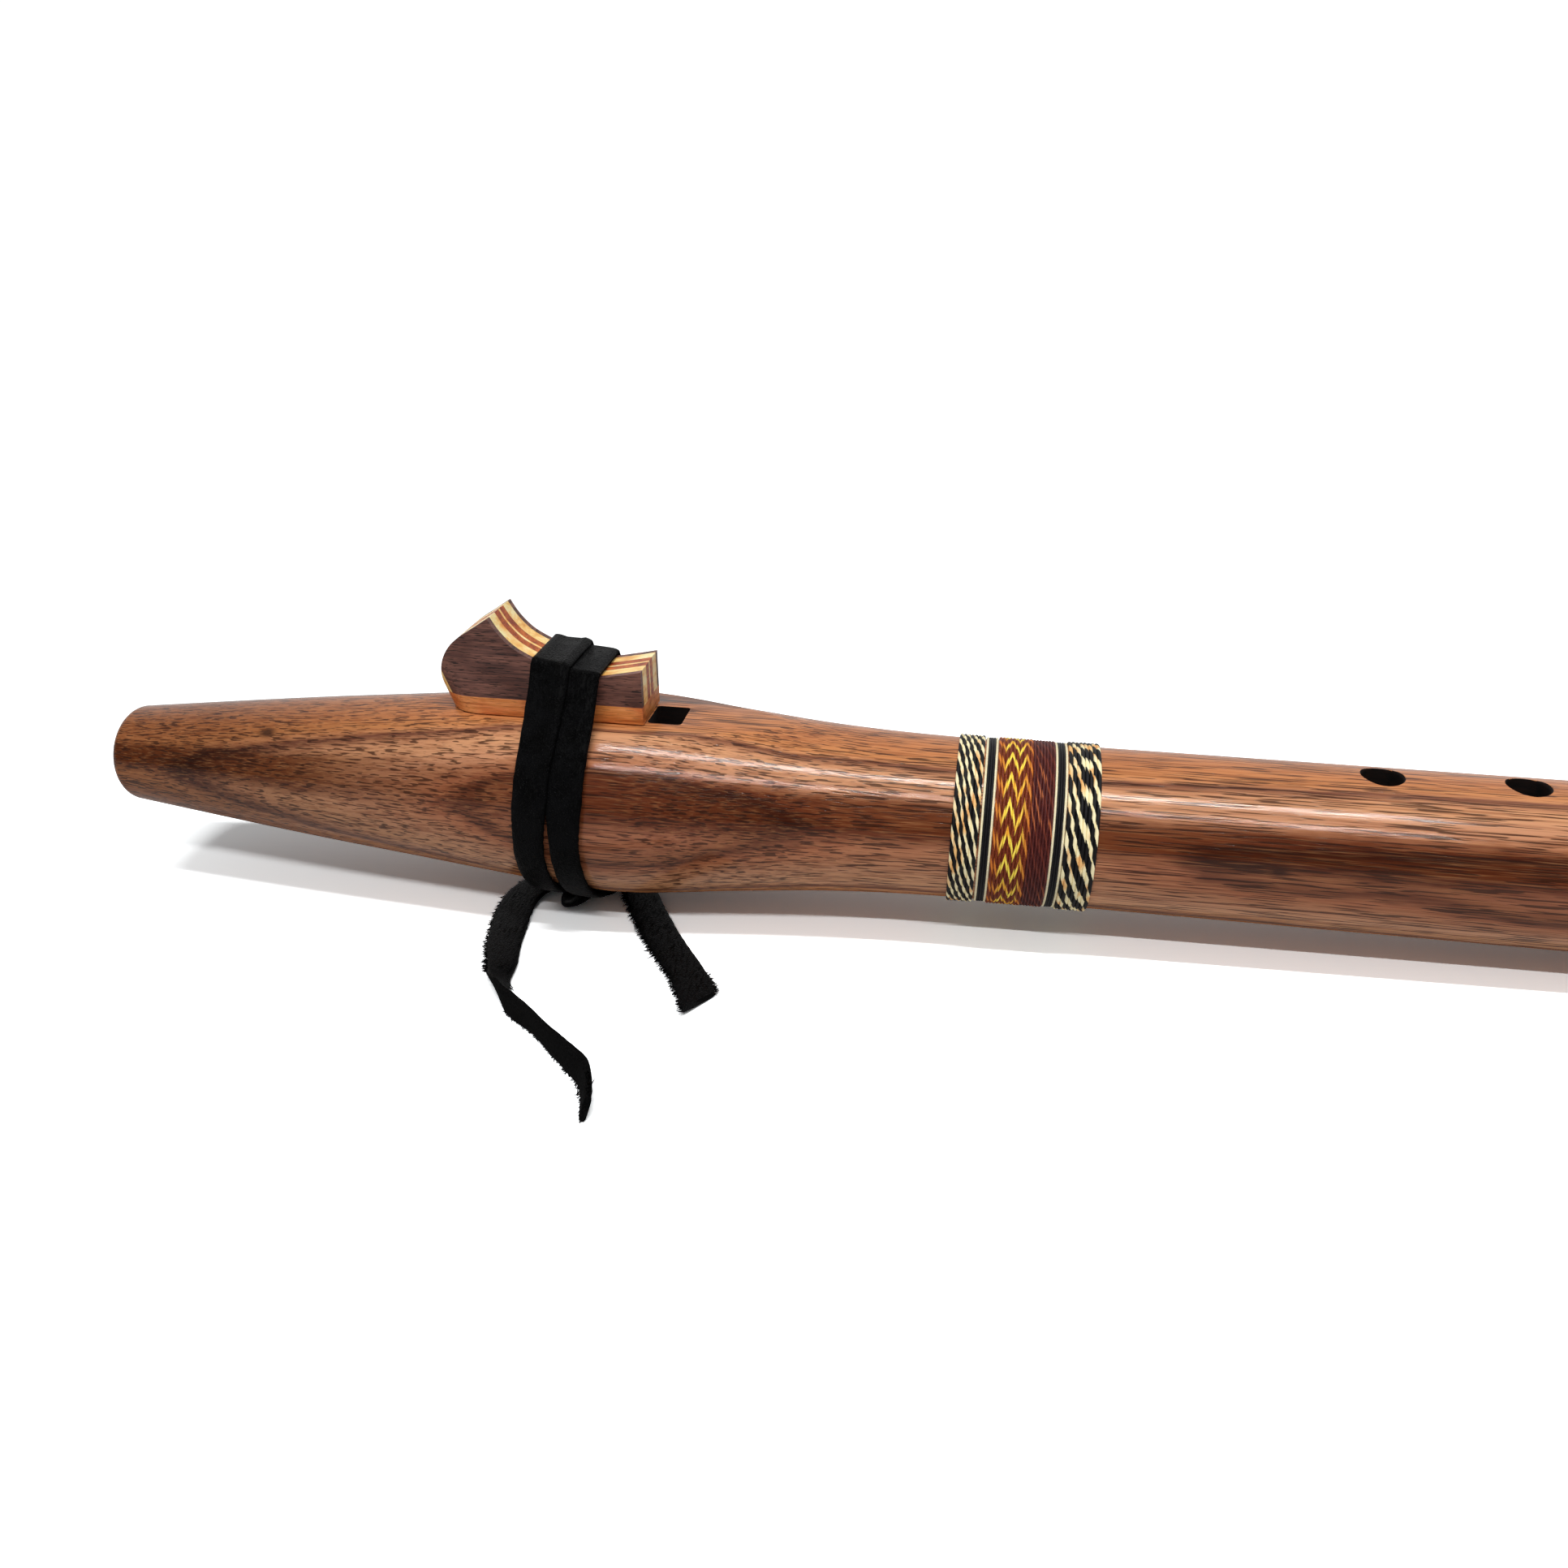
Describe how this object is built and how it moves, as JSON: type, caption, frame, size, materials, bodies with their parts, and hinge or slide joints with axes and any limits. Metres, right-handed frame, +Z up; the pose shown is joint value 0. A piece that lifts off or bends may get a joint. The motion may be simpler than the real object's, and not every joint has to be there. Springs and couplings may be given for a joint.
{
  "type": "native american flute",
  "caption": "Duct flute in walnut with a swelling head, a laminated block tied on with a leather lace, thread wraps on the barrel and six finger holes.",
  "frame": {"origin": "on the table, under the middle of the flute's box, the loose lace ends left out", "axes": "+X from the mouth end to the foot along the table, +Z up, +Y away from the side with the loose lace ends; the bore leans 1.41 degrees down towards the foot"},
  "size_m": [0.5204, 0.093, 0.0648],
  "materials": {
    "walnut": "oiled satin",
    "dark_walnut": "oiled satin",
    "maple": "oiled satin",
    "red_wood": "oiled satin",
    "cherry": "oiled satin",
    "leather": "matte",
    "speckled_thread": "waxed thread",
    "cream_thread": "waxed thread",
    "black_thread": "waxed thread",
    "flame_thread": "waxed thread",
    "burgundy_thread": "waxed thread"
  },
  "bodies": {
    "flute_body": {"body_upper_half": "walnut", "body_lower_half": "walnut", "thread_speckled_rear": "speckled_thread", "thread_cream_rear": "cream_thread", "thread_black_rear": "black_thread", "thread_flame": "flame_thread", "thread_burgundy": "burgundy_thread", "thread_cream_front": "cream_thread", "thread_black_front": "black_thread", "thread_speckled_front": "speckled_thread"},
    "tied_block": {"block_base": "cherry", "block_cheek_near": "dark_walnut", "block_maple_near": "maple", "block_red_layer_near": "red_wood", "block_centre_line": "maple", "block_red_layer_far": "red_wood", "block_maple_far": "maple", "block_cheek_far": "dark_walnut", "lace_wrap": "leather", "lace_knot": "leather", "lace_tail_left": "leather", "lace_tail_right": "leather"}
  },
  "joints": [
    {"name": "block_slide", "type": "slide", "parent": "flute_body", "child": "tied_block", "axis": [0.9997, 0, -0.0246], "range_m": [-0.003, 0.002]}
  ]
}
